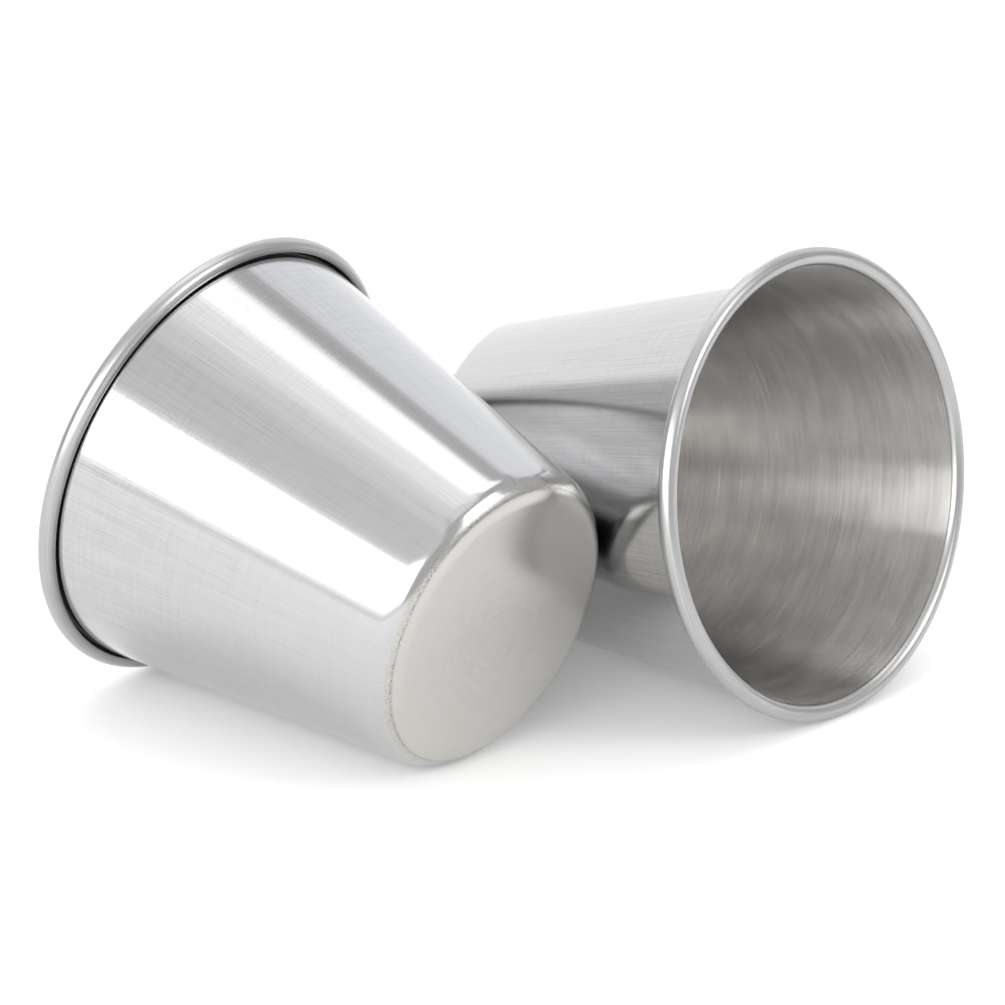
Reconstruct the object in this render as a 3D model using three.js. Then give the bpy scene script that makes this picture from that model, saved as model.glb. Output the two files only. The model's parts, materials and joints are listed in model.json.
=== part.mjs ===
// A pair of small tapered wine cups in stainless steel, lying head to tail on a table.
// Each cup is one drawn sheet: a flat base, a rounded corner, a straight tapered wall and a rim rolled outward.
//
// Millimetres, with +Z up and the table at z = 0. The origin is on the table, midway between the cups.
// Seen from above, both cups lie along X. The rear cup is on the +Y side with its mouth towards +X, and the
// front cup is the same cup turned half round about Z.

import * as THREE from 'three';

// Driving dimensions of one cup
const rimDiameter = 55; // across the outside of the rolled rim
const cupHeight = 46.4; // from the base to the top of the rolled rim
const baseDiameter = 36.4; // where the line of the outer wall meets the plane of the base
const sheetThickness = 0.5; // the sheet, alike in base, wall and rim
const beadDiameter = 2.1; // thickness of the rolled rim
const rimSlit = 0.35; // open slit between the rolled edge and the wall
const cornerRadius = 3.4; // outside radius between base and wall

// Driving dimensions of the lying pair
const rimOverhang = 12.2; // how far each rim reaches past the other cup's base
const sideClearance = 0.3; // between the two walls where they lie closest

// Facets
const turnSteps = 64; // round the axis, a multiple of 4, so that one edge lies along the table
const cornerSteps = 5; // round the corner of the base
const rollSteps = 11; // round the rolled rim

// Finish
const steelColour = 0xb8b6b1;
const steelRoughness = 0.28;

// Section of the cup: x is the distance from its axis and y the height above its base.
// The outside of the wall runs on into the hollow of the roll, and the inside into the roll's outer skin.
const baseRadius = baseDiameter / 2;
const beadRadius = beadDiameter / 2;
const hollowRadius = beadRadius - sheetThickness;
const innerCornerRadius = cornerRadius - sheetThickness;
const rollX = rimDiameter / 2 - beadRadius;
const rollY = cupHeight - beadRadius;

// Taper of the wall from the cup's axis, for a wall from the base's edge that just meets the roll's hollow
const rollRun = Math.hypot(rollX - baseRadius, rollY);
const taper = Math.atan2(rollX - baseRadius, rollY) - Math.asin(hollowRadius / rollRun);

// Centre of the corner, a circle that meets both the base and the wall
const cornerX = baseRadius - (cornerRadius * (1 - Math.sin(taper))) / Math.cos(taper);
const cornerY = cornerRadius;

// The roll starts where the wall meets it and ends a slit's width short of the wall
const rollStart = Math.PI - taper;
const rollEnd = -Math.acos((rimSlit - hollowRadius) / beadRadius) - taper;

// Points on an arc about (x, y), both ends included
function arc(x, y, radius, from, to, steps) {
  return Array.from({ length: steps + 1 }, (_, step) => {
    const angle = from + ((to - from) * step) / steps;
    return new THREE.Vector2(x + radius * Math.cos(angle), y + radius * Math.sin(angle));
  });
}

// Outline of the section: out along the base, up the wall, round the roll and back, then down the inside
const down = -Math.PI / 2;
const section = [
  new THREE.Vector2(0, 0),
  ...arc(cornerX, cornerY, cornerRadius, down, -taper, cornerSteps),
  ...arc(rollX, rollY, hollowRadius, rollStart, rollEnd, rollSteps),
  ...arc(rollX, rollY, beadRadius, rollEnd, rollStart, rollSteps),
  ...arc(cornerX, cornerY, innerCornerRadius, -taper, down, cornerSteps),
  new THREE.Vector2(0, sheetThickness),
];

// A lying cup rests on its rim and on the corner of its base, with its axis tilted up towards the mouth
const restX = rollX - cornerX;
const restY = rollY - cornerY;
const tilt = Math.atan2(restX, restY) + Math.asin((beadRadius - cornerRadius) / Math.hypot(restX, restY));
const baseCentreHeight = cornerX * Math.cos(tilt) + cornerRadius * (1 - Math.sin(tilt));
const baseSetback = (cupHeight * Math.cos(tilt) - rimOverhang) / 2;

// Sideways, the walls lie closest where the rear cup's wall faces level. That line is turned by sideTurn
// from the cup's horizontal diameter, and (sideNormalX, sideNormalY) is the way the wall faces there.
const sideTurn = Math.asin(Math.tan(taper) * Math.tan(tilt));
const sideNormalX = -Math.cos(taper) * Math.sin(sideTurn) * Math.sin(tilt) - Math.sin(taper) * Math.cos(tilt);
const sideNormalY = -Math.cos(taper) * Math.cos(sideTurn);
const sideEdgeX = -baseRadius * Math.sin(sideTurn) * Math.sin(tilt) - baseSetback;
const sideEdgeY = -baseRadius * Math.cos(sideTurn);
const sideOffset = -sideEdgeY - (sideClearance / 2 + sideEdgeX * sideNormalX) / sideNormalY;

function makeCup(name) {
  const geometry = new THREE.LatheGeometry(section, turnSteps).rotateX(Math.PI / 2);
  const steel = new THREE.MeshStandardMaterial({
    color: steelColour,
    roughness: steelRoughness,
    metalness: 1,
  });
  const cup = new THREE.Mesh(geometry, steel);
  cup.name = name;
  cup.rotation.y = Math.PI / 2 - tilt;
  cup.position.set(-baseSetback, sideOffset, baseCentreHeight);
  return cup;
}

const frontSide = new THREE.Group();
frontSide.rotation.z = Math.PI;
frontSide.add(makeCup('front_cup'));

const cups = new THREE.Group();
cups.add(makeCup('rear_cup'), frontSide);

export default cups;
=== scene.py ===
"""Two drawn stainless steel wine cups lying head to tail, and the studio that they are seen in."""

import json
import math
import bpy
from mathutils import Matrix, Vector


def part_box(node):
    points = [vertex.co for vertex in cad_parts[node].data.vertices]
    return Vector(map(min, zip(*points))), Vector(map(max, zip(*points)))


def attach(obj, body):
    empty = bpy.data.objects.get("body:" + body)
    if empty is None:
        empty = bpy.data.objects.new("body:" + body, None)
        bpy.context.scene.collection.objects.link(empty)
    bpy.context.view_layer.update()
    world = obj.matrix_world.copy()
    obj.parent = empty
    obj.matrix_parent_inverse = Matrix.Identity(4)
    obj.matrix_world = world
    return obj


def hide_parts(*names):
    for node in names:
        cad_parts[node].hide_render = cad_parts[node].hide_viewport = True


bl_info = {
    "name": "Steel Wine Cups",
    "version": (1, 0, 0),
    "blender": (4, 5, 0),
    "location": "View3D > Sidebar > Wine Cups",
    "description": "Models two drawn steel wine cups round their frame, and a studio to see them in",
    "category": "Add Mesh",
}

from types import SimpleNamespace

import bmesh
import bpy
from mathutils import Matrix, Vector

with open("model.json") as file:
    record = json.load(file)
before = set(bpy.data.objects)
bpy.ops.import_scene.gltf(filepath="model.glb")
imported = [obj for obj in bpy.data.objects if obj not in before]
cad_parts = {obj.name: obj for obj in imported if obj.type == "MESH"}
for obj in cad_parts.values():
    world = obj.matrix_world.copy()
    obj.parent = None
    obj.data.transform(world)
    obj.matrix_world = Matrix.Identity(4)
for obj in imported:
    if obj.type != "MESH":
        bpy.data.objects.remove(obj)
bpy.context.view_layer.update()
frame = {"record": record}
rear_low, rear_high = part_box("rear_cup")

MM = 0.001

# Each cup's CAD node, and the mount on its base that gives the cup's place
CUP_MOUNTS = {"rear_cup": "rear_base", "front_cup": "front_base"}

# Facets of a cup's mesh
TURN_STEPS = 256
BASE_PARTS = 8
CORNER_STEPS = 24
WALL_PARTS = 24
HOLLOW_STEPS = 24
BEAD_STEPS = 56
EDGE_SEGMENTS = 3
FLOOR_SEGMENTS = 96

# Points closer than this, in metres, are one point
SAME_POINT = 1e-7

# Share of the outer corner that has the base's finish
BASE_CORNER_SHARE = 0.6


def linear(hex_colour):
    """Turns an sRGB colour such as "c0bfbc" into linear red, green and blue."""
    channels = [int(hex_colour[start:start + 2], 16) / 255 for start in (0, 2, 4)]
    return tuple(c / 12.92 if c <= 0.04045 else ((c + 0.055) / 1.055) ** 2.4 for c in channels)


class CupSettings(bpy.types.PropertyGroup):
    """Sizes and colours of one cup."""

    rim_diameter: bpy.props.FloatProperty(
        name="Rim Diameter",
        description="Across the outside of the rolled rim",
        default=rear_high.y - rear_low.y,
        unit="LENGTH",
    )
    cup_height: bpy.props.FloatProperty(
        name="Height",
        description="From the base to the top of the rolled rim",
        default=46.4 * MM,
        unit="LENGTH",
    )
    base_diameter: bpy.props.FloatProperty(
        name="Base Diameter",
        description="Where the line of the outer wall meets the plane of the base",
        default=36.4 * MM,
        unit="LENGTH",
    )
    sheet_thickness: bpy.props.FloatProperty(
        name="Sheet Thickness",
        description="The sheet, alike in base, wall and rim",
        default=0.5 * MM,
        unit="LENGTH",
    )
    bead_diameter: bpy.props.FloatProperty(
        name="Bead Diameter",
        description="Thickness of the rolled rim",
        default=2.1 * MM,
        unit="LENGTH",
    )
    rim_slit: bpy.props.FloatProperty(
        name="Rim Slit",
        description="Open slit between the rolled edge and the wall",
        default=0.35 * MM,
        unit="LENGTH",
    )
    corner_radius: bpy.props.FloatProperty(
        name="Corner Radius",
        description="Outside radius between base and wall",
        default=3.4 * MM,
        unit="LENGTH",
    )
    edge_rounding: bpy.props.FloatProperty(
        name="Edge Rounding",
        description="Rounding of the sheet's cut edge inside the roll",
        default=0.12 * MM,
        unit="LENGTH",
    )
    bright_steel: bpy.props.FloatVectorProperty(
        name="Bright Steel",
        description="Colour of the polished wall and rim",
        default=linear("c2c2c2"),
        size=3,
        subtype="COLOR",
    )
    dull_steel: bpy.props.FloatVectorProperty(
        name="Dull Steel",
        description="Colour in the lines of the wall and rim",
        default=linear("adadad"),
        size=3,
        subtype="COLOR",
    )
    dark_steel: bpy.props.FloatVectorProperty(
        name="Dark Steel",
        description="Colour in the deepest scratches",
        default=linear("7f7d7a"),
        size=3,
        subtype="COLOR",
    )
    inner_steel: bpy.props.FloatVectorProperty(
        name="Inner Steel",
        description="Colour of the brushed inside",
        default=linear("dad8d6"),
        size=3,
        subtype="COLOR",
    )
    inner_dull_steel: bpy.props.FloatVectorProperty(
        name="Inner Dull Steel",
        description="Colour in the brush lines of the inside",
        default=linear("c7c5c3"),
        size=3,
        subtype="COLOR",
    )
    inner_bright_steel: bpy.props.FloatVectorProperty(
        name="Inner Bright Steel",
        description="Colour of the paler arcs of the inside",
        default=linear("e9e7e5"),
        size=3,
        subtype="COLOR",
    )
    base_steel: bpy.props.FloatVectorProperty(
        name="Base Steel",
        description="Colour of the satin base",
        default=linear("c9c7c3"),
        size=3,
        subtype="COLOR",
    )
    base_dull_steel: bpy.props.FloatVectorProperty(
        name="Base Dull Steel",
        description="Colour in the rings of the base",
        default=linear("c1bfbb"),
        size=3,
        subtype="COLOR",
    )


class StudioSettings(bpy.types.PropertyGroup):
    """The floor and light round the cups."""

    floor_radius: bpy.props.FloatProperty(
        name="Floor Radius",
        description="Radius of the round floor",
        default=3.0,
        unit="LENGTH",
    )
    floor_colour: bpy.props.FloatVectorProperty(
        name="Floor Colour",
        description="Colour of the matt floor",
        default=linear("e6e6e6"),
        size=3,
        subtype="COLOR",
    )
    floor_glow: bpy.props.FloatProperty(
        name="Floor Glow",
        description="Light that comes up through the floor",
        default=0.22,
        min=0.0,
    )
    room_colour: bpy.props.FloatVectorProperty(
        name="Room Colour",
        description="Light from the room round the lamps",
        default=linear("d8d8d8"),
        size=3,
        subtype="COLOR",
    )
    cool_light: bpy.props.FloatVectorProperty(
        name="Cool Light",
        description="Colour of the light from the back panel",
        default=linear("f4f6ff"),
        size=3,
        subtype="COLOR",
    )
    lamp_distance: bpy.props.FloatProperty(
        name="Lamp Distance",
        description="From the cups to each lamp",
        default=2.6,
        unit="LENGTH",
    )


# Node helper


def add_node(tree, kind, settings=None, links=None):
    """Adds a node, sets its inputs and properties from settings, and links its inputs to sockets."""
    node = tree.nodes.new(kind)
    for name, value in (settings or {}).items():
        if isinstance(name, int) or name in node.inputs:
            node.inputs[name].default_value = value
        else:
            setattr(node, name, value)
    for name, socket in (links or {}).items():
        tree.links.new(socket, node.inputs[name])
    return node


# Steel finishes
# The attribute "turned" holds the direction round the cup's axis, at the rim's radius, and the distance
# along the sheet from the middle of the base, in millimetres. A pattern squeezed along one of them follows
# the cup.


def start_steel(name):
    """Starts a steel material, and returns it with its node tree and the cup's turned coordinates."""
    material = bpy.data.materials.new(name)
    material.use_nodes = True
    tree = material.node_tree
    tree.nodes.clear()
    turned = add_node(tree, "ShaderNodeAttribute", {"attribute_name": "turned"})
    return material, tree, turned.outputs["Vector"]


def finish_steel(tree, settings, links):
    """Adds the metal shader and its output."""
    shader = add_node(tree, "ShaderNodeBsdfPrincipled", {"Metallic": 1.0, **settings}, links)
    add_node(tree, "ShaderNodeOutputMaterial", None, {"Surface": shader.outputs["BSDF"]})


def brush_marks(tree, turned, width, length, up_wall):
    """Adds marks of a width and length in millimetres, up the wall or round it. Returns their strength."""
    across, along = 1 / width, 1 / length
    scale = (across, across, along) if up_wall else (along, along, across)
    stretch = add_node(tree, "ShaderNodeMapping", {"Scale": scale}, {"Vector": turned})
    marks = add_node(
        tree,
        "ShaderNodeTexNoise",
        {"Scale": 1.0, "Detail": 2.0, "Roughness": 0.6},
        {"Vector": stretch.outputs["Vector"]},
    )
    return marks.outputs["Fac"]


def drawn_steel(cup):
    """Stainless steel drawn over a punch and polished: close to a mirror, with fine straight lines up the
    wall that fray the edges of what it mirrors, and fainter marks round it. The lines get stronger towards
    the rim."""
    # Real lines are too fine to show, so these are drawn coarser
    line_width, line_length, line_depth = 0.11, 12.0, 0.0026 * MM
    scratch_width, scratch_length = 0.2, 9.0
    round_width, round_length, round_share = 0.3, 6.0, 0.35
    fade_start, fade_end, least_lines = 22.0, 58.0, 0.35
    wall_roughness = 0.145
    material, tree, turned = start_steel("drawn_stainless_steel")
    lines = brush_marks(tree, turned, line_width, line_length, up_wall=True)
    scratches = brush_marks(tree, turned, scratch_width, scratch_length, up_wall=True)
    rounds = brush_marks(tree, turned, round_width, round_length, up_wall=False)

    # Strength of the lines, from the corner of the base up to the rim
    spot = add_node(tree, "ShaderNodeSeparateXYZ", None, {"Vector": turned})
    near_rim = add_node(
        tree,
        "ShaderNodeMapRange",
        {"From Min": fade_start, "From Max": fade_end, "To Min": least_lines, "To Max": 1.0},
        {"Value": spot.outputs["Z"]},
    )
    height = add_node(
        tree,
        "ShaderNodeMath",
        {"operation": "MULTIPLY"},
        {0: lines, 1: near_rim.outputs["Result"]},
    )
    bump = add_node(
        tree,
        "ShaderNodeBump",
        {"Strength": 1.0, "Distance": line_depth},
        {"Height": height.outputs["Value"]},
    )

    # Colour: the lines, the marks round the wall and a few deeper scratches
    both = add_node(
        tree,
        "ShaderNodeMath",
        {"operation": "MULTIPLY_ADD", 1: round_share},
        {0: rounds, 2: lines},
    )
    streaks = add_node(
        tree,
        "ShaderNodeMapRange",
        {"From Min": 0.55, "From Max": 0.95},
        {"Value": both.outputs["Value"]},
    )
    faded = add_node(
        tree,
        "ShaderNodeMath",
        {"operation": "MULTIPLY"},
        {0: streaks.outputs["Result"], 1: near_rim.outputs["Result"]},
    )
    tint = add_node(
        tree,
        "ShaderNodeMixRGB",
        {"Color1": (*cup.bright_steel, 1), "Color2": (*cup.dull_steel, 1)},
        {"Fac": faded.outputs["Value"]},
    )
    deep = add_node(
        tree,
        "ShaderNodeMapRange",
        {"From Min": 0.66, "From Max": 0.78, "To Max": 0.5},
        {"Value": scratches},
    )
    scratched = add_node(
        tree,
        "ShaderNodeMixRGB",
        {"Color2": (*cup.dark_steel, 1)},
        {"Fac": deep.outputs["Result"], "Color1": tint.outputs["Color"]},
    )
    finish_steel(
        tree,
        {"Roughness": wall_roughness},
        {"Base Color": scratched.outputs["Color"], "Normal": bump.outputs["Normal"]},
    )
    return material


def turned_steel(cup):
    """Stainless steel brushed as it turns: satin, with fine rings that spread each light along the cup,
    and longer paler arcs where the brush bit deeper."""
    # Real brush lines are finer than a pixel, so these are drawn coarser
    ring_width, ring_length, ring_depth = 0.3, 30.0, 0.003 * MM
    arc_width, arc_length = 0.6, 20.0
    patch_width, patch_length, patch_share = 3.0, 9.0, 1.5
    brushed_roughness = 0.27
    material, tree, turned = start_steel("turned_satin_stainless_steel")
    rings = brush_marks(tree, turned, ring_width, ring_length, up_wall=False)
    arcs = brush_marks(tree, turned, arc_width, arc_length, up_wall=False)
    patches = brush_marks(tree, turned, patch_width, patch_length, up_wall=False)
    bump = add_node(
        tree,
        "ShaderNodeBump",
        {"Strength": 1.0, "Distance": ring_depth},
        {"Height": rings},
    )
    both = add_node(
        tree,
        "ShaderNodeMath",
        {"operation": "MULTIPLY_ADD", 1: patch_share},
        {0: patches, 2: rings},
    )
    streaks = add_node(
        tree,
        "ShaderNodeMapRange",
        {"From Min": 0.95, "From Max": 1.55},
        {"Value": both.outputs["Value"]},
    )
    tint = add_node(
        tree,
        "ShaderNodeMixRGB",
        {"Color1": (*cup.inner_dull_steel, 1), "Color2": (*cup.inner_steel, 1)},
        {"Fac": streaks.outputs["Result"]},
    )
    bitten = add_node(
        tree,
        "ShaderNodeMapRange",
        {"From Min": 0.66, "From Max": 0.78, "To Max": 0.9},
        {"Value": arcs},
    )
    brushed = add_node(
        tree,
        "ShaderNodeMixRGB",
        {"Color2": (*cup.inner_bright_steel, 1)},
        {"Fac": bitten.outputs["Result"], "Color1": tint.outputs["Color"]},
    )
    along = add_node(tree, "ShaderNodeTangent", {"direction_type": "UV_MAP", "uv_map": "section"})
    finish_steel(
        tree,
        {"Roughness": brushed_roughness, "Anisotropic": 1.0},
        {
            "Base Color": brushed.outputs["Color"],
            "Normal": bump.outputs["Normal"],
            "Tangent": along.outputs["Tangent"],
        },
    )
    return material


def satin_steel(cup):
    """Stainless steel left satin by the press: soft reflections, faint rings round the middle, and a grainy
    ring with a darker, speckled line round the corner, where the polishing of the wall stopped."""
    grain_size, grain_depth, grain_share = 0.22, 0.03 * MM, 0.8
    ring_width, ring_length = 0.6, 8.0
    swirl_start, swirl_end, least_swirl = 4.0, 12.0, 0.15
    line_reach, ring_share = 0.3, 0.3
    ring_blend, mirror_blend, gloss_blend = 0.2, 0.5, 0.6
    base_relief = 0.05
    base_roughness, mirror_roughness = 0.2, 0.145

    # Turns round the corner, in degrees from the base, where the line, the ring and the polished wall start
    line_turn, ring_turn, mirror_turn = 31, 28, 48
    sizes = sheet_sizes(cup)
    line_place, ring_place, mirror_place = [
        (sizes.corner_x + cup.corner_radius * math.radians(turn)) / MM
        for turn in (line_turn, ring_turn, mirror_turn)
    ]
    material, tree, turned = start_steel("pressed_satin_stainless_steel")
    place = add_node(tree, "ShaderNodeTexCoord")
    grain = add_node(
        tree,
        "ShaderNodeTexNoise",
        {"Scale": 1 / (grain_size * MM), "Detail": 3.0, "Roughness": 0.6},
        {"Vector": place.outputs["Object"]},
    ).outputs["Fac"]
    rings = brush_marks(tree, turned, ring_width, ring_length, up_wall=False)
    spot = add_node(tree, "ShaderNodeSeparateXYZ", None, {"Vector": turned})

    # Rings fade out from the middle of the base
    near_middle = add_node(
        tree,
        "ShaderNodeMapRange",
        {"From Min": swirl_start, "From Max": swirl_end, "To Min": 1.0, "To Max": least_swirl},
        {"Value": spot.outputs["Z"]},
    )
    swirl = add_node(
        tree,
        "ShaderNodeMapRange",
        {"From Min": 0.35, "From Max": 0.65},
        {"Value": rings},
    )
    ringed = add_node(
        tree,
        "ShaderNodeMath",
        {"operation": "MULTIPLY"},
        {0: swirl.outputs["Result"], 1: near_middle.outputs["Result"]},
    )
    tint = add_node(
        tree,
        "ShaderNodeMath",
        {"operation": "MULTIPLY_ADD", 1: grain_share},
        {0: grain, 2: ringed.outputs["Value"]},
    )
    steel = add_node(
        tree,
        "ShaderNodeMixRGB",
        {"Color1": (*cup.base_steel, 1), "Color2": (*cup.base_dull_steel, 1)},
        {"Fac": tint.outputs["Value"]},
    )

    # The grainy ring, which starts on the corner and ends at the polished wall
    in_ring = add_node(
        tree,
        "ShaderNodeMapRange",
        {
            "From Min": ring_place - ring_blend,
            "From Max": ring_place + ring_blend,
            "To Min": base_relief,
            "To Max": 1.0,
        },
        {"Value": spot.outputs["Z"]},
    )
    to_mirror = add_node(
        tree,
        "ShaderNodeMapRange",
        {"From Min": mirror_place - mirror_blend, "From Max": mirror_place, "To Min": 1.0, "To Max": 0.0},
        {"Value": spot.outputs["Z"]},
    )
    relief = add_node(
        tree,
        "ShaderNodeMath",
        {"operation": "MULTIPLY"},
        {0: in_ring.outputs["Result"], 1: to_mirror.outputs["Result"]},
    )
    height = add_node(
        tree,
        "ShaderNodeMath",
        {"operation": "MULTIPLY"},
        {0: grain, 1: relief.outputs["Value"]},
    )
    bump = add_node(
        tree,
        "ShaderNodeBump",
        {"Strength": 1.0, "Distance": grain_depth},
        {"Height": height.outputs["Value"]},
    )
    roughness = add_node(
        tree,
        "ShaderNodeMapRange",
        {
            "From Min": mirror_place - gloss_blend,
            "From Max": mirror_place,
            "To Min": base_roughness,
            "To Max": mirror_roughness,
        },
        {"Value": spot.outputs["Z"]},
    )

    # The speckled line
    offset = add_node(
        tree,
        "ShaderNodeMath",
        {"operation": "SUBTRACT", 1: line_place},
        {0: spot.outputs["Z"]},
    )
    distance = add_node(
        tree,
        "ShaderNodeMath",
        {"operation": "ABSOLUTE"},
        {0: offset.outputs["Value"]},
    )
    near_line = add_node(
        tree,
        "ShaderNodeMapRange",
        {"From Min": 0.0, "From Max": line_reach, "To Min": 1.0, "To Max": 0.0},
        {"Value": distance.outputs["Value"]},
    )
    speckle = add_node(
        tree,
        "ShaderNodeMapRange",
        {"From Min": 0.35, "From Max": 0.65},
        {"Value": grain},
    )
    ring_speckle = add_node(
        tree,
        "ShaderNodeMath",
        {"operation": "MULTIPLY", 1: ring_share},
        {0: relief.outputs["Value"]},
    )
    reach = add_node(
        tree,
        "ShaderNodeMath",
        {"operation": "MAXIMUM"},
        {0: near_line.outputs["Result"], 1: ring_speckle.outputs["Value"]},
    )
    line = add_node(
        tree,
        "ShaderNodeMath",
        {"operation": "MULTIPLY"},
        {0: reach.outputs["Value"], 1: speckle.outputs["Result"]},
    )
    lined = add_node(
        tree,
        "ShaderNodeMixRGB",
        {"Color2": (*cup.dark_steel, 1)},
        {"Fac": line.outputs["Value"], "Color1": steel.outputs["Color"]},
    )
    finish_steel(
        tree,
        {},
        {
            "Base Color": lined.outputs["Color"],
            "Roughness": roughness.outputs["Result"],
            "Normal": bump.outputs["Normal"],
        },
    )
    return material


def polished_steel(cup):
    """Stainless steel polished by the rolling wheel: bright, with hairlines along the rim."""
    hairline_width, hairline_length, hairline_depth = 0.18, 12.0, 0.005 * MM
    rim_roughness = 0.3
    material, tree, turned = start_steel("polished_stainless_steel")
    hairlines = brush_marks(tree, turned, hairline_width, hairline_length, up_wall=False)
    bump = add_node(
        tree,
        "ShaderNodeBump",
        {"Strength": 1.0, "Distance": hairline_depth},
        {"Height": hairlines},
    )
    streaks = add_node(
        tree,
        "ShaderNodeMapRange",
        {"From Min": 0.4, "From Max": 0.8},
        {"Value": hairlines},
    )
    tint = add_node(
        tree,
        "ShaderNodeMixRGB",
        {"Color1": (*cup.dull_steel, 1), "Color2": (*cup.bright_steel, 1)},
        {"Fac": streaks.outputs["Result"]},
    )
    finish_steel(
        tree,
        {"Roughness": rim_roughness},
        {"Base Color": tint.outputs["Color"], "Normal": bump.outputs["Normal"]},
    )
    return material


# A cup's sheet


def sheet_sizes(cup):
    """Works out the section of a cup: x is the distance from its axis, and z the height above its base."""
    base_radius = cup.base_diameter / 2
    bead_radius = cup.bead_diameter / 2
    hollow_radius = bead_radius - cup.sheet_thickness
    roll_x = cup.rim_diameter / 2 - bead_radius
    roll_z = cup.cup_height - bead_radius
    run = math.hypot(roll_x - base_radius, roll_z)
    taper = math.atan2(roll_x - base_radius, roll_z) - math.asin(hollow_radius / run)
    corner_x = base_radius - cup.corner_radius * (1 - math.sin(taper)) / math.cos(taper)
    roll_start = math.pi - taper
    roll_end = -math.acos((cup.rim_slit - hollow_radius) / bead_radius) - taper
    return SimpleNamespace(
        bead_radius=bead_radius,
        hollow_radius=hollow_radius,
        inner_corner_radius=cup.corner_radius - cup.sheet_thickness,
        roll_x=roll_x,
        roll_z=roll_z,
        roll_start=roll_start,
        roll_end=roll_end,
        taper=taper,
        corner_x=corner_x,
    )


class SheetOutline:
    """The outline of the sheet in the XZ plane, drawn from point to point as one chain of edges."""

    def __init__(self, bm):
        self.bm = bm
        self.start = bm.verts.new((0, 0, 0))
        self.tip = self.start

    def line_to(self, x, z, parts=1):
        """Draws a straight stretch to (x, z) in equal parts."""
        step = (Vector((x, 0, z)) - self.tip.co) / parts
        return self.spin_tip(parts, dvec=step)

    def arc_about(self, x, z, turn, steps):
        """Draws an arc about (x, z), anticlockwise where turn is above zero."""
        return self.spin_tip(steps, cent=(x, 0, z), axis=(0, -1, 0), angle=turn)

    def spin_tip(self, steps, **path):
        """Draws on from the tip along the path, and returns the new tip."""
        drawn = bmesh.ops.spin(self.bm, geom=[self.tip], steps=steps, **path)
        self.tip = next(item for item in drawn["geom_last"] if isinstance(item, bmesh.types.BMVert))
        return self.tip


def draw_sheet(bm, cup, sizes):
    """Draws the sheet's outline from the middle of the base.

    Returns its start, and the points where the base's, wall's and rim's finishes end."""
    outline = SheetOutline(bm)
    quarter = math.pi / 2 - sizes.taper
    roll = sizes.roll_end - sizes.roll_start
    start_x, start_z = math.cos(sizes.roll_start), math.sin(sizes.roll_start)
    end_x, end_z = math.cos(sizes.roll_end), math.sin(sizes.roll_end)
    base_steps = round(CORNER_STEPS * BASE_CORNER_SHARE)
    base_turn = quarter * base_steps / CORNER_STEPS

    # Outside: base, corner, wall and the hollow of the roll
    outline.line_to(sizes.corner_x, 0, BASE_PARTS)
    base_end = outline.arc_about(sizes.corner_x, cup.corner_radius, base_turn, base_steps)
    outline.arc_about(sizes.corner_x, cup.corner_radius, quarter - base_turn, CORNER_STEPS - base_steps)
    wall_end = outline.line_to(
        sizes.roll_x + sizes.hollow_radius * start_x,
        sizes.roll_z + sizes.hollow_radius * start_z,
        WALL_PARTS,
    )
    hollow_edge = outline.arc_about(sizes.roll_x, sizes.roll_z, roll, HOLLOW_STEPS)

    # The cut edge, the outside of the roll, and down the inside to the middle
    bead_edge = outline.line_to(
        sizes.roll_x + sizes.bead_radius * end_x,
        sizes.roll_z + sizes.bead_radius * end_z,
    )
    rim_end = outline.arc_about(sizes.roll_x, sizes.roll_z, -roll, BEAD_STEPS)
    outline.line_to(
        sizes.corner_x + sizes.inner_corner_radius * math.cos(sizes.taper),
        cup.corner_radius - sizes.inner_corner_radius * math.sin(sizes.taper),
        WALL_PARTS,
    )
    outline.arc_about(sizes.corner_x, cup.corner_radius, -quarter, CORNER_STEPS)
    outline.line_to(0, cup.sheet_thickness, BASE_PARTS)

    bmesh.ops.bevel(
        bm,
        geom=[hollow_edge, bead_edge],
        offset=cup.edge_rounding,
        offset_type="OFFSET",
        affect="VERTICES",
        segments=EDGE_SEGMENTS,
        profile=0.5,
        material=-1,
    )
    return outline.start, (base_end, wall_end, rim_end)


def measure_sheet(along, start):
    """Keeps each point's distance along the outline, from start, and returns the whole length."""
    length = 0.0
    before, here = None, start
    while here is not None:
        here[along] = length
        joined = [edge.other_vert(here) for edge in here.link_edges]
        after = next((vert for vert in joined if vert is not before), None)
        if after is not None:
            length += (after.co - here.co).length
        before, here = here, after
    return length


def turn_sheet(bm):
    """Spins the outline into a closed cup about Z, with its poles merged and its faces pointing out."""
    bmesh.ops.spin(
        bm,
        geom=bm.verts[:] + bm.edges[:],
        cent=(0, 0, 0),
        axis=(0, 0, 1),
        angle=math.tau,
        steps=TURN_STEPS,
        use_merge=True,
    )
    bmesh.ops.remove_doubles(bm, verts=bm.verts, dist=SAME_POINT)
    bmesh.ops.recalc_face_normals(bm, faces=bm.faces)


def map_cup(bm, layers, cup, length, zone_ends):
    """Gives the turned cup its finishes, its UV map and its turned coordinates."""
    along, turned, section = layers
    for vert in bm.verts:
        round_axis = vert.co.xy.normalized() * cup.rim_diameter / 2
        vert[turned] = Vector((*round_axis, vert[along])) / MM
    for face in bm.faces:
        face.smooth = True
        middle = face.calc_center_median()
        face_turn = math.atan2(middle.y, middle.x)
        face_along = sum(vert[along] for vert in face.verts) / len(face.verts)
        face.material_index = sum(face_along > end for end in zone_ends)
        for loop in face.loops:
            spot = loop.vert.co.xy
            offset = spot.angle_signed(middle.xy) if spot.length > SAME_POINT else 0.0
            turn = (face_turn + offset) / math.tau + 0.5
            loop[section].uv = (loop.vert[along] / length, turn)


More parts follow.
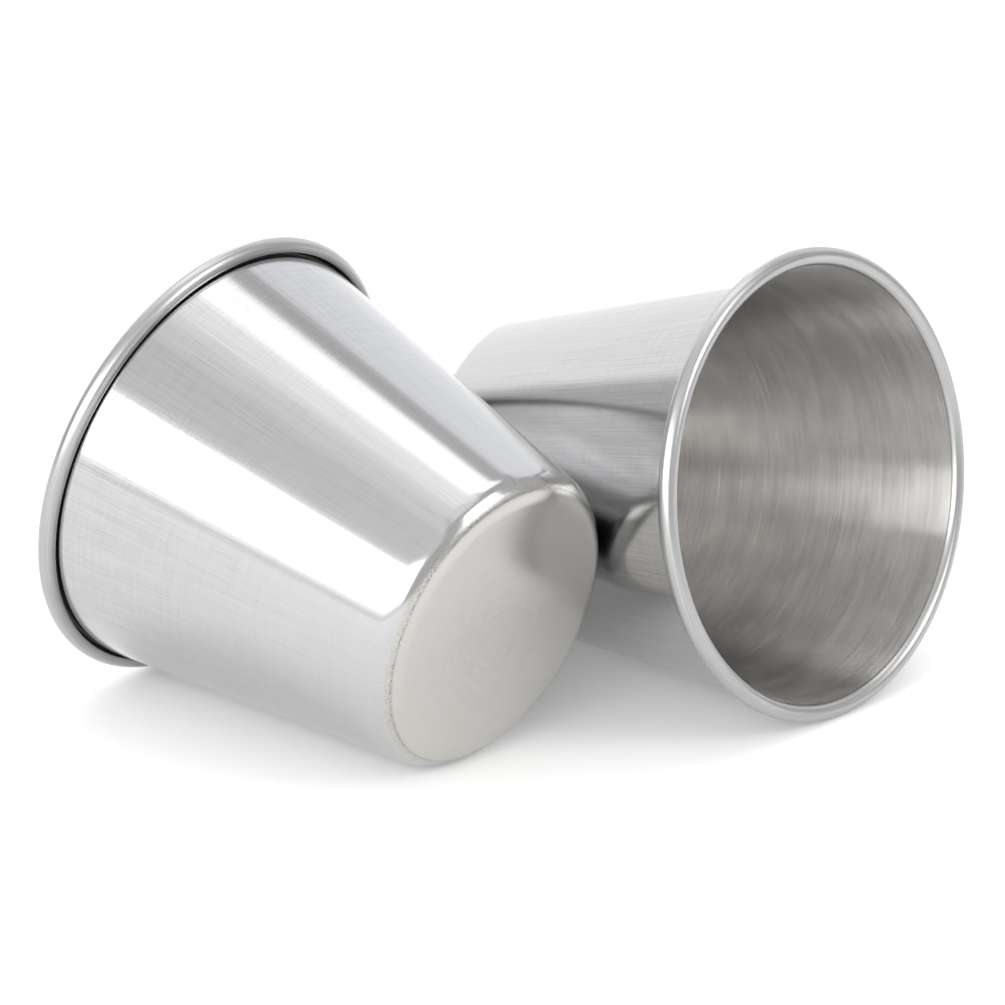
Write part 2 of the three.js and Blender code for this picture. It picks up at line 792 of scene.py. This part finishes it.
def cup_place(node, mount_name):
    """The place of a lying cup: its mount faces out of the base, level with the base's middle."""
    mount = next(m for m in frame["record"]["mounts"] if m["name"] == mount_name)
    low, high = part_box(node)
    axis = -Vector(mount["axis"]).normalized()
    across = Vector((0, 0, 1)).cross(axis).normalized()
    place = Matrix((across.cross(axis), across, axis)).transposed().to_4x4()
    place.translation = (mount["pos_m"][0], (low.y + high.y) / 2, mount["pos_m"][2])
    return place


def turned_cup(cup):
    """Builds a cup that stands on the origin, as a bmesh."""
    bm = bmesh.new()
    along = bm.verts.layers.float.new("along")
    turned = bm.verts.layers.float_vector.new("turned")
    section = bm.loops.layers.uv.new("section")
    start, zone_verts = draw_sheet(bm, cup, sheet_sizes(cup))
    length = measure_sheet(along, start)
    zone_ends = [vert[along] for vert in zone_verts]
    turn_sheet(bm)
    map_cup(bm, (along, turned, section), cup, length, zone_ends)
    return bm


def place_cup(name, standing_cup, place, finishes):
    """Makes an object of a standing cup, moved to its place."""
    bm = standing_cup.copy()
    bmesh.ops.transform(bm, matrix=place, verts=bm.verts)
    mesh = bpy.data.meshes.new(name)
    bm.to_mesh(mesh)
    bm.free()
    for finish in finishes:
        mesh.materials.append(finish)
    piece = bpy.data.objects.new(name, mesh)
    bpy.context.scene.collection.objects.link(piece)
    return piece


class WINECUPS_OT_add_cups(bpy.types.Operator):
    """Add both wine cups, each in place of its node in the frame"""

    bl_idname = "wine_cups.add_cups"
    bl_label = "Add Cups"

    def execute(self, context):
        cup = context.scene.wine_cup
        finishes = [satin_steel(cup), drawn_steel(cup), polished_steel(cup), turned_steel(cup)]
        standing_cup = turned_cup(cup)
        for node, mount_name in CUP_MOUNTS.items():
            piece = place_cup(node + "_sheet", standing_cup, cup_place(node, mount_name), finishes)
            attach(piece, "root")
            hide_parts(node)
        standing_cup.free()
        return {"FINISHED"}


# Studio
# Directions round the cups: azimuth 0 is in front, on the -Y side, and 90 is on the +X side.

# Each lamp's azimuth, elevation, width and height in degrees as the cups see it, and its radiance
SOFTBOXES = {
    "front_lamp": (7, 22.3, 70, 30.2, 3.6),
    "front_edge": (7, 4.7, 70, 5, 0.7),
    "side_lamp": (108, 35.5, 26, 29, 3.3),
    "top_lamp": (-157, 70.7, 44, 16.6, 1.4),
    "back_panel": (-160, 23.2, 60, 52.4, 0.58),
    "left_panel": (-112, 20, 50, 42, 0.65),
    "left_upper_panel": (-112, 49, 36, 18, 0.89),
    "ceiling_panel": (-10, 57, 110, 38, 0.27),
    "zenith_panel": (-10, 85, 70, 34, 0.14),
    "zenith_core": (-10, 90, 60, 26, 0.36),
    "zenith_back": (-150, 86, 50, 14, 0.28),
}

# The lamp with a cool light
COOL_LAMP = "back_panel"

# The camera: place, lens and sensor in millimetres, and heading, tilt and roll in degrees
CAMERA_PLACE = (427.1, -505.0, 262.4)
CAMERA_AZIMUTH = 40.32
CAMERA_DOWN = 19.91
CAMERA_ROLL = 1.93
CAMERA_LENS = 217.35
SENSOR_WIDTH = 36.0


def toward(azimuth, elevation):
    """The unit vector from the cups in a direction given in degrees."""
    a, e = math.radians(azimuth), math.radians(elevation)
    return Vector((math.sin(a) * math.cos(e), -math.cos(a) * math.cos(e), math.sin(e)))


def add_softbox(name, studio, azimuth, elevation, width, height, radiance):
    """Adds a lamp that faces the cups. The camera doesn't see it."""
    distance = studio.lamp_distance
    lamp = bpy.data.lights.new(name, "AREA")
    lamp.shape = "RECTANGLE"
    if name == COOL_LAMP:
        lamp.color = studio.cool_light
    lamp.size = 2 * distance * math.tan(math.radians(width / 2))
    lamp.size_y = 2 * distance * math.tan(math.radians(height / 2))
    lamp.energy = radiance * math.pi * lamp.size * lamp.size_y
    away = toward(azimuth, elevation)
    box = bpy.data.objects.new(name, lamp)
    facing = away.to_track_quat("Z", "Y").to_matrix().to_4x4()
    box.matrix_world = Matrix.Translation(away * distance) @ facing
    box.visible_camera = False
    bpy.context.scene.collection.objects.link(box)


def add_floor(studio):
    """Adds the round floor under the cups: matt opal acrylic with a faint light in it, which stays pale
    where the cups shade it."""
    floor_roughness = 0.9
    bm = bmesh.new()
    bmesh.ops.create_circle(bm, cap_ends=True, radius=studio.floor_radius, segments=FLOOR_SEGMENTS)
    mesh = bpy.data.meshes.new("floor")
    bm.to_mesh(mesh)
    bm.free()
    floor = bpy.data.objects.new("floor", mesh)
    bpy.context.scene.collection.objects.link(floor)
    material = bpy.data.materials.new("lit_opal_acrylic")
    material.use_nodes = True
    shader = material.node_tree.nodes["Principled BSDF"]
    shader.inputs["Base Color"].default_value = (*studio.floor_colour, 1)
    shader.inputs["Roughness"].default_value = floor_roughness
    shader.inputs["Emission Color"].default_value = (*studio.floor_colour, 1)
    shader.inputs["Emission Strength"].default_value = studio.floor_glow
    mesh.materials.append(material)


def add_room(studio):
    """Adds the dim room that lights the cups between the lamps."""
    world = bpy.data.worlds.new("room")
    world.use_nodes = True
    world.node_tree.nodes["Background"].inputs["Color"].default_value = (*studio.room_colour, 1)
    bpy.context.scene.world = world


def add_camera():
    """Adds the camera at the photograph's viewing angle."""
    data = bpy.data.cameras.new("camera")
    data.lens = CAMERA_LENS
    data.sensor_width = SENSOR_WIDTH
    camera = bpy.data.objects.new("camera", data)
    camera.matrix_world = (
        Matrix.Translation(Vector(CAMERA_PLACE) * MM)
        @ Matrix.Rotation(math.radians(CAMERA_AZIMUTH), 4, "Z")
        @ Matrix.Rotation(math.radians(90 - CAMERA_DOWN), 4, "X")
        @ Matrix.Rotation(math.radians(CAMERA_ROLL), 4, "Z")
    )
    bpy.context.scene.collection.objects.link(camera)
    bpy.context.scene.camera = camera


class WINECUPS_OT_add_studio(bpy.types.Operator):
    """Add the floor, the lamps, the room and the camera"""

    bl_idname = "wine_cups.add_studio"
    bl_label = "Add Studio"

    def execute(self, context):
        studio = context.scene.wine_studio
        add_floor(studio)
        add_room(studio)
        for name, place in SOFTBOXES.items():
            add_softbox(name, studio, *place)
        add_camera()
        context.scene.view_settings.view_transform = "Standard"
        return {"FINISHED"}


class WINECUPS_PT_panel(bpy.types.Panel):
    """Sizes, colours and buttons for the wine cups"""

    bl_idname = "WINECUPS_PT_panel"
    bl_label = "Wine Cups"
    bl_space_type = "VIEW_3D"
    bl_region_type = "UI"
    bl_category = "Wine Cups"

    def draw(self, context):
        for settings in (context.scene.wine_cup, context.scene.wine_studio):
            column = self.layout.column()
            for name in settings.__annotations__:
                column.prop(settings, name)
        self.layout.operator("wine_cups.add_cups")
        self.layout.operator("wine_cups.add_studio")


CLASSES = (CupSettings, StudioSettings, WINECUPS_OT_add_cups, WINECUPS_OT_add_studio, WINECUPS_PT_panel)


def register():
    for cls in CLASSES:
        bpy.utils.register_class(cls)
    bpy.types.Scene.wine_cup = bpy.props.PointerProperty(type=CupSettings)
    bpy.types.Scene.wine_studio = bpy.props.PointerProperty(type=StudioSettings)


def unregister():
    del bpy.types.Scene.wine_studio
    del bpy.types.Scene.wine_cup
    for cls in reversed(CLASSES):
        bpy.utils.unregister_class(cls)


def main():
    register()
    bpy.ops.wine_cups.add_cups()
    bpy.ops.wine_cups.add_studio()


if __name__ == "__main__":
    main()
